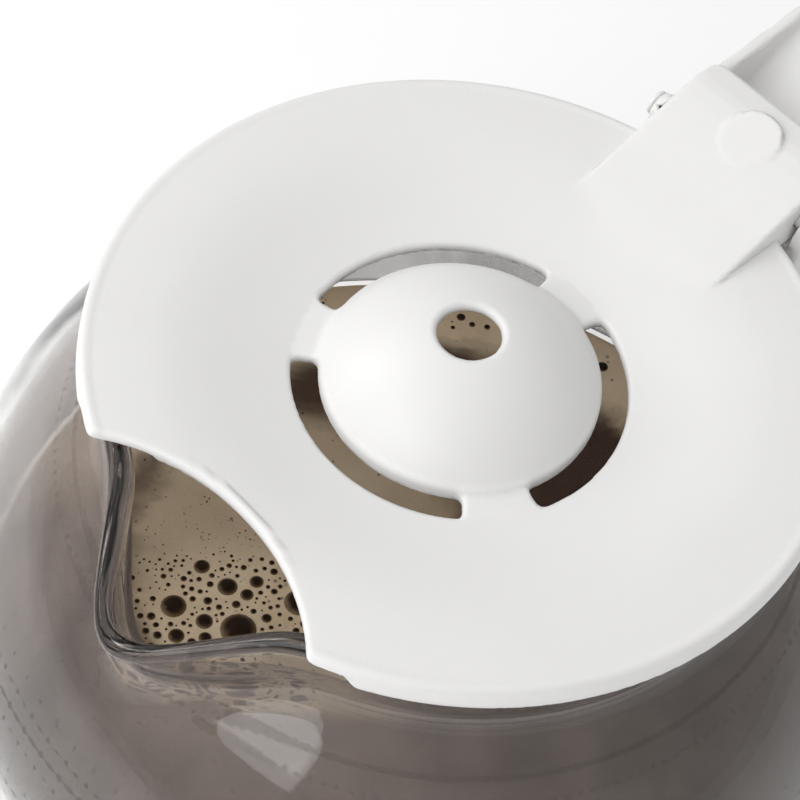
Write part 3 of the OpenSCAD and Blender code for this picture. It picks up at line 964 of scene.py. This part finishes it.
# ---------------------------------------------------------------- coffee, foam, mist
def inner_rings(heights, inset, columns):
    """Rings a little inside the glass's inner wall."""
    phi = round_angles(columns)
    rows = []
    for h in heights:
        z = np.full(columns, float(h))
        rows.append(ring_points(phi, outer_radius(phi, z) - GLASS_WALL * wall_slant(h) - inset, z))
    return rows


class CARAFE_OT_coffee(bpy.types.Operator):
    """Builds the coffee with its foam, the bubbles in the foam and the mist above it"""

    bl_idname = "carafe.coffee"
    bl_label = "Coffee and foam"

    def execute(self, context):
        s = context.scene.carafe_glass
        level = s.coffee_level / MM
        below = [4.2] + list(np.linspace(6, level - 2.5, 18))
        rows = inner_rings(below, 0.15, 144)
        flat = [np.array([0.96, 0.96, 1.0]) * rows[0]]
        coffee = rings_object("coffee_liquid", flat + rows, 4.1, level - 2.5)
        material, n, shader, place = new_material("Black coffee")
        swirl = n.noise(place, 45.0, 4.0, 0.6, 1.2)
        tone = n.mix(n.ramp(swirl, 0.35, 0.7), tuple(s.coffee), (0.04, 0.019, 0.009))
        n.link(tone, shader, "Base Color")
        n.link(n.ramp(swirl, 0.3, 0.7, 0.08, 0.2), shader, "Roughness")
        set_values(shader, IOR=1.33)
        give(coffee, material)

        columns = 192
        edge = inner_rings([level - 2.4, level - 0.6], 0.3, columns)
        disc = []
        for share in (0.995, 0.985, 0.96, 0.9, 0.8, 0.68, 0.55, 0.4, 0.25, 0.1):
            ring = edge[-1].copy()
            ring[:, :2] *= share
            ring[:, 2] = level - 0.9 + 0.9 * smoothstep(0.93, 1.0, share)
            disc.append(ring)
        under = edge[0].copy()
        under[:, :2] *= 0.97
        foam = rings_object("coffee_foam", [under] + edge + disc, level - 2.4, level - 0.9)
        give(foam, foam_material(tuple(s.foam)))
        mist = self.mist_piece(s, level)
        bubbles = foam_bubbles(level)
        for piece in (coffee, foam, mist, bubbles):
            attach(piece, "jug")
        return {"FINISHED"}

    def mist_piece(self, s, level):
        """A thin closed film on the glass's inside, from the coffee up to the neck."""
        columns = 192
        heights = list(np.linspace(level + 0.6, 121, 44)) + [124]
        rows = inner_rings(heights, 0.02, columns) + inner_rings(heights, 0.12, columns)[::-1]
        faces = []
        for i in range(len(rows)):
            faces += band(i * columns, (i + 1) % len(rows) * columns, columns)
        obj = mesh_object("glass_mist", np.concatenate(rows), faces)
        recalculate(obj)
        give(obj, mist_material(tuple(s.mist)))
        return obj


def foam_material(colour):
    """Foam: a raft near the middle and a ring along the glass, with bare coffee between them; away from the
    ring and the spout the foam carries painted shade.
    """
    material, n, shader, place = new_material("Coffee foam")
    cloud = n.ramp(n.noise(place, 26.0, 4.0, 0.55, 1.0), 0.3, 0.7)
    streak = n.noise(place, 90.0, 5.0, 0.65, 1.6)

    def cells(scale):
        values = {"Vector": place, "Scale": scale}
        return n.add("ShaderNodeTexVoronoi", values, feature="F1").outputs["Distance"]

    def away_from(x, y, z):
        node = n.add("ShaderNodeVectorMath", {0: place, 1: (x, y, z)}, operation="DISTANCE")
        return node.outputs["Value"]

    def length(x, y):
        return n.math("SQRT", n.plus(n.times(x, x), n.times(y, y)))

    fine, pores = cells(1500.0), cells(420.0)
    dark = tuple(c * f for c, f in zip(colour, (0.72, 0.66, 0.58)))
    tone = n.mix(n.times(n.plus(cloud, streak), 0.5), dark, colour)
    pore = n.times(n.ramp(pores, 0.1, 0.2, 1.0, 0.0), n.ramp(streak, 0.45, 0.62))
    tone = n.mix(n.times(pore, 0.75), tone, (0.06, 0.03, 0.014))
    warp = n.times(n.plus(n.noise(place, 38.0, 4.0, 0.6, 0.8), -0.5), 0.022)
    x, y, _ = n.add("ShaderNodeSeparateXYZ", {0: place}).outputs
    raft = n.ramp(n.plus(length(n.plus(x, 0.006), n.plus(y, -0.024)), warp), 0.026, 0.038, 1.0, 0.0)
    far_side = n.ramp(n.plus(x, y), 0.01, 0.05)
    ring = n.times(n.ramp(n.plus(length(x, y), warp), 0.058, 0.067), far_side)
    # Painted shade: away from the ring and the spout the foam is mixed 42% towards dark brown; by the spout
    # and along the ring it keeps its lighter tone.
    by_spout = n.ramp(away_from(-0.029, 0.015, 0.055), 0.012, 0.03, 1.0, 0.0)
    shaded = n.mix(0.42, tone, (0.12, 0.085, 0.055))
    tone = n.mix(n.math("MAXIMUM", ring, by_spout), shaded, tone)
    bare = n.times(n.math("SUBTRACT", 1.0, raft), n.math("SUBTRACT", 1.0, ring))
    n.link(n.mix(bare, tone, (0.085, 0.05, 0.034)), shader, "Base Color")
    n.link(n.ramp(fine, 0.0, 0.8, 0.5, 0.75), shader, "Roughness")
    height = n.plus(n.times(fine, 0.3), n.times(streak, 0.7))
    n.bump(shader, height, 0.4, 0.0004)
    scattered = (0.003, 0.002, 0.0012)
    set_values(shader, IOR=1.34, Subsurface_Weight=0.2, Subsurface_Radius=scattered, Subsurface_Scale=0.4)
    return material


def bubble_places(level, seed=11):
    """Where the foam's bubbles sit: crowded near the spout, few elsewhere, never overlapping."""
    draw = np.random.default_rng(seed)
    far = [(37.4, 66.7, 1.0), (40.2, 65.2, 0.8), (37.4, 64.0, 0.7), (71.7, 19.0, 1.4),
           (57.6, 46.4, 1.1), (58.1, 43.6, 0.7), (60.1, 41.2, 0.7), (54.4, 45.5, 0.5)]
    crowd = [(-31.8, 30.2, 2.55), (-25.8, 18.8, 3.6), (-13.3, 16.1, 2.95), (-29.5, 24.1, 1.7),
             (-21.4, 27.1, 2.0), (-35.4, 25.0, 1.6), (-22.3, 33.5, 1.6), (-31.2, 11.5, 2.8),
             (-18.3, 8.6, 2.1), (-16.5, 24.5, 1.4)]
    kept = crowd + far

    def throw(count, r_low, r_high, spread, centre, least_depth=None):
        # depth is how far a place is past the crowd's edge; larger bubbles sit further in
        made = 0
        for _ in range(count * 40):
            if made >= count:
                break
            x, y = draw.normal(centre[0], spread[0]), draw.normal(centre[1], spread[1])
            r = r_low + (r_high - r_low) * draw.random() ** 1.5
            depth = -0.567 * (x + 29.3) - 0.824 * (y - 42.1)
            if np.hypot(x, y) + r > radius_at(level) - 3.5:
                continue
            if least_depth is not None and depth < least_depth + 7.0 * r:
                continue
            gap = 0.3 + 0.15 * r
            if any((x - a) ** 2 + (y - b) ** 2 < (r + c + gap) ** 2 for a, b, c in kept):
                continue
            kept.append((x, y, r))
            made += 1

    throw(26, 0.85, 1.35, (11, 9), (-26, 24), 0.0)
    throw(120, 0.45, 0.82, (12, 10), (-25, 27), -1.0)
    throw(200, 0.2, 0.4, (13, 11), (-25, 29), -1.5)
    throw(130, 0.1, 0.19, (15, 13), (-24, 32), -9.0)
    throw(60, 0.12, 0.28, (14, 10), (-16, 46))
    throw(70, 0.2, 0.8, (12, 6), (50, 57))
    return kept


def bubble_tree():
    """Geometry Nodes: one shallow dome on every point, scaled by the point's radius."""
    tree = bpy.data.node_groups.new("Bubbles on points", "GeometryNodeTree")
    face = tree.interface
    face.new_socket("Geometry", in_out="INPUT", socket_type="NodeSocketGeometry")
    face.new_socket("Dome", in_out="INPUT", socket_type="NodeSocketObject")
    size = face.new_socket("Size", in_out="INPUT", socket_type="NodeSocketFloat")
    size.default_value = 1.0
    face.new_socket("Material", in_out="INPUT", socket_type="NodeSocketMaterial")
    face.new_socket("Seed", in_out="INPUT", socket_type="NodeSocketInt")
    face.new_socket("Geometry", in_out="OUTPUT", socket_type="NodeSocketGeometry")
    n = Nodes(tree)
    given, out = n.add("NodeGroupInput"), n.add("NodeGroupOutput")
    dome = n.add("GeometryNodeObjectInfo", {"Object": given.outputs["Dome"]})
    named = n.add("GeometryNodeInputNamedAttribute", {"Name": "bubble_radius"}, data_type="FLOAT")
    radius = named.outputs[0]
    turn = n.add("FunctionNodeRandomValue", data_type="FLOAT")
    turn.inputs[2].default_value, turn.inputs[3].default_value = 0.0, 6.283
    tree.links.new(given.outputs["Seed"], turn.inputs["Seed"])
    spin = n.add("ShaderNodeCombineXYZ", {"Z": turn.outputs[1]}).outputs[0]
    scale = n.times(radius, given.outputs["Size"])
    placed = n.add(
        "GeometryNodeInstanceOnPoints",
        {
            "Points": given.outputs["Geometry"],
            "Instance": dome.outputs["Geometry"],
            "Rotation": spin,
            "Scale": scale,
        },
    ).outputs[0]
    real = n.add("GeometryNodeRealizeInstances", {0: placed}).outputs[0]
    painted = {"Geometry": real, "Material": given.outputs["Material"]}
    tree.links.new(n.add("GeometryNodeSetMaterial", painted).outputs[0], out.inputs[0])
    return tree


def scatter(name, places, dome, material, seed):
    """One mesh of domes at places, given as (x, y, z, radius) in millimetres."""
    mesh = bpy.data.meshes.new(name + "_points")
    mesh.from_pydata([tuple(c * MM for c in p[:3]) for p in places], [], [])
    radius = mesh.attributes.new("bubble_radius", "FLOAT", "POINT")
    radius.data.foreach_set("value", [p[3] for p in places])
    holder = bpy.data.objects.new(name + "_holder", mesh)
    bpy.context.scene.collection.objects.link(holder)
    tree = bpy.data.node_groups.get("Bubbles on points") or bubble_tree()
    modifier = holder.modifiers.new("scatter", "NODES")
    modifier.node_group = tree
    sockets = {i.name: i.identifier for i in tree.interface.items_tree if i.in_out == "INPUT"}
    modifier[sockets["Dome"]] = dome
    modifier[sockets["Size"]] = 1.0
    modifier[sockets["Material"]] = material
    modifier[sockets["Seed"]] = seed
    evaluated = holder.evaluated_get(bpy.context.evaluated_depsgraph_get())
    result = bpy.data.meshes.new_from_object(evaluated)
    obj = bpy.data.objects.new(name, result)
    bpy.context.scene.collection.objects.link(obj)
    for used in (holder, dome):
        bpy.data.objects.remove(used)
    result.polygons.foreach_set("use_smooth", [True] * len(result.polygons))
    if not result.polygons:
        raise RuntimeError(f"{name} came out empty")
    return obj


def bubble_material():
    material, n, shader, place = new_material("Bubble film")
    tint = n.noise(place, 240.0, 2.0)
    rim = n.add("ShaderNodeAttribute", attribute_name="edge").outputs["Fac"]
    inner = n.mix(tint, (0.012, 0.005, 0.002), (0.03, 0.013, 0.006))
    # The dark middle is the coffee seen through the film; the lighter brown towards the rim is a painted
    # highlight.
    tone = n.mix(n.ramp(rim, 0.55, 1.0), inner, (0.2, 0.125, 0.06))
    n.link(tone, shader, "Base Color")
    n.link(n.ramp(rim, 0.6, 1.0, 0.06, 0.4), shader, "Roughness")
    set_values(shader, IOR=1.33)
    return material


def foam_bubbles(level):
    """The bubbles as shallow domes, whose edge attribute grows from 0 at the top to 1 at the rim."""
    profile = [(0, 0.30), (0.3, 0.28), (0.6, 0.2), (0.85, 0.08), (1.0, -0.06), (1.0, -0.35)]
    sides, points, faces, edge = 16, [], [], []
    for r, z in profile[1:]:
        points += [(r * np.cos(a), r * np.sin(a), z) for a in 2 * np.pi * np.arange(sides) / sides]
        edge += [r] * sides
    points.append((0, 0, 0.3))
    points.append((0, 0, -0.35))
    edge += [0.0, 1.0]
    top, bottom, rows = len(points) - 2, len(points) - 1, len(profile) - 1
    for j in range(sides):
        k = (j + 1) % sides
        faces.append((top, j, k))
        for i in range(rows - 1):
            faces.append((i * sides + j, (i + 1) * sides + j, (i + 1) * sides + k, i * sides + k))
        faces.append((bottom, (rows - 1) * sides + k, (rows - 1) * sides + j))
    dome = mesh_object("bubble_dome", points, faces)
    values = dome.data.attributes.new("edge", "FLOAT", "POINT")
    values.data.foreach_set("value", edge)
    places = [(x, y, level - 0.86, r) for x, y, r in bubble_places(level)]
    return scatter("foam_bubbles", places, dome, bubble_material(), 3)


# ---------------------------------------------------------------- metal and silicone fittings
class CARAFE_OT_fittings(bpy.types.Operator):
    """Gives the clamp band, bracket, screws and silicone pads their finishes"""

    bl_idname = "carafe.fittings"
    bl_label = "Band, bracket and screws"

    def execute(self, context):
        steel = metal("Brushed steel", (0.62, 0.61, 0.6), (0.5, 0.49, 0.475), 0.26, (1, 1, 40))
        zinc = metal("Zinc plated steel", (0.55, 0.56, 0.57), (0.42, 0.42, 0.41), 0.34, (12, 1, 1))
        pad = rubber("Silicone", (0.55, 0.55, 0.54), (0.47, 0.47, 0.46))
        for material, names in (
            (steel, ("clamp_band", "neck_bracket")),
            (zinc, ("clamp_screw", "clamp_nut", "cover_screws", "bracket_screws")),
            (pad, ("band_cushion", "bracket_pad")),
        ):
            for name in names:
                give(NODES[name], material)
        return {"FINISHED"}


# ---------------------------------------------------------------- stage
CAMERA_TURN = (-50.64, 53.26, 9.87)  # azimuth, elevation and roll in degrees
CAMERA_SHIFT = (0.01019, 0.00706)  # metres from the lid's centre, across the view and up it


def area_light(name, place, target, size, power):
    data = bpy.data.lights.new(name, "AREA")
    data.shape, data.size, data.size_y = "RECTANGLE", size[0], size[1]
    data.energy = power
    lamp = bpy.data.objects.new(name, data)
    lamp.location = place
    lamp.rotation_mode = "QUATERNION"
    lamp.rotation_quaternion = (Vector(target) - Vector(place)).to_track_quat("-Z", "Y")
    bpy.context.scene.collection.objects.link(lamp)


class CARAFE_OT_stage(bpy.types.Operator):
    """Builds the floor, the lights and the camera"""

    bl_idname = "carafe.stage"
    bl_label = "Floor, lights and camera"

    def execute(self, context):
        s = context.scene.carafe_stage
        size = s.floor / MM
        corners = [(-size, -size, -0.3), (size, -size, -0.3), (size, size, -0.3), (-size, size, -0.3)]
        floor = mesh_object("floor", corners, [(0, 1, 2, 3)], None, False)
        material, n, shader, place = new_material("Pale floor")
        haze = n.noise(place, 3.0, 4.0, 0.6)
        n.link(n.mix(haze, (0.9, 0.9, 0.9), (0.94, 0.94, 0.94)), shader, "Base Color")
        n.link(n.ramp(haze, 0.2, 0.8, 0.6, 0.75), shader, "Roughness")
        set_values(shader, Emission_Color=(1, 1, 1), Emission_Strength=0.15)
        give(floor, material)
        target = (0.0, 0.0, 0.125)
        area_light("key", (-0.92, 0.05, 0.88), target, (0.95, 0.75), 5.8)
        area_light("left", (-0.42, 0.86, 0.78), target, (0.35, 0.9), 4.4)
        area_light("top", (0.15, 0.1, 1.3), target, (1.2, 1.2), 1.2)
        world = bpy.data.worlds.new("Studio")
        world.use_nodes = True
        world.node_tree.nodes["Background"].inputs[0].default_value = (1, 1, 1, 1)
        world.node_tree.nodes["Background"].inputs[1].default_value = 0.52
        context.scene.world = world
        azimuth, elevation, roll = np.radians(CAMERA_TURN)
        level = np.cos(elevation)
        back = np.array([np.sin(azimuth) * level, -np.cos(azimuth) * level, np.sin(elevation)])
        right = np.array([np.cos(azimuth), np.sin(azimuth), 0.0])
        up = np.cross(back, right)
        across = np.cos(roll) * right + np.sin(roll) * up
        upward = -np.sin(roll) * right + np.cos(roll) * up
        middle = np.array([0, 0, LID_Z * MM]) - across * CAMERA_SHIFT[0] - upward * CAMERA_SHIFT[1]
        place = middle + back * s.distance
        camera = bpy.data.cameras.new("camera")
        camera.lens, camera.sensor_width, camera.clip_start = s.lens / MM, 36.0, 0.01
        holder = bpy.data.objects.new("camera", camera)
        columns = [across, upward, back]
        turn = Matrix([[columns[j][i] for j in range(3)] for i in range(3)]).to_4x4()
        holder.matrix_world = Matrix.Translation(Vector(place)) @ turn
        context.scene.collection.objects.link(holder)
        context.scene.camera = holder
        context.scene.view_settings.view_transform = "Standard"
        return {"FINISHED"}


class CARAFE_PT_parts(bpy.types.Panel):
    """Lists the carafe's pieces"""

    bl_label = "Coffee carafe"
    bl_idname = "CARAFE_PT_parts"
    bl_space_type = "VIEW_3D"
    bl_region_type = "UI"
    bl_category = "Carafe"

    def draw(self, context):
        for operator in OPERATORS:
            self.layout.operator(operator.bl_idname)
        for name in SETTINGS:
            group_of = getattr(context.scene, name)
            box = self.layout.box()
            for key in group_of.__annotations__:
                box.prop(group_of, key)


SETTINGS = {
    "carafe_lid": CarafeLid,
    "carafe_handle": CarafeHandle,
    "carafe_glass": CarafeGlass,
    "carafe_stage": CarafeStage,
}
OPERATORS = [
    CARAFE_OT_lid,
    CARAFE_OT_handle,
    CARAFE_OT_pin,
    CARAFE_OT_glass,
    CARAFE_OT_coffee,
    CARAFE_OT_fittings,
    CARAFE_OT_stage,
]


def register():
    for cls in [*SETTINGS.values(), *OPERATORS, CARAFE_PT_parts]:
        bpy.utils.register_class(cls)
    for name, cls in SETTINGS.items():
        setattr(bpy.types.Scene, name, bpy.props.PointerProperty(type=cls))


def unregister():
    for name in SETTINGS:
        delattr(bpy.types.Scene, name)
    for cls in [CARAFE_PT_parts, *reversed(OPERATORS), *reversed(SETTINGS.values())]:
        bpy.utils.unregister_class(cls)


def main():
    register()
    bpy.ops.carafe.stage()
    bpy.ops.carafe.lid()
    bpy.ops.carafe.handle()
    bpy.ops.carafe.pin()
    bpy.ops.carafe.glass()
    bpy.ops.carafe.coffee()
    bpy.ops.carafe.fittings()


if __name__ == "__main__":
    main()
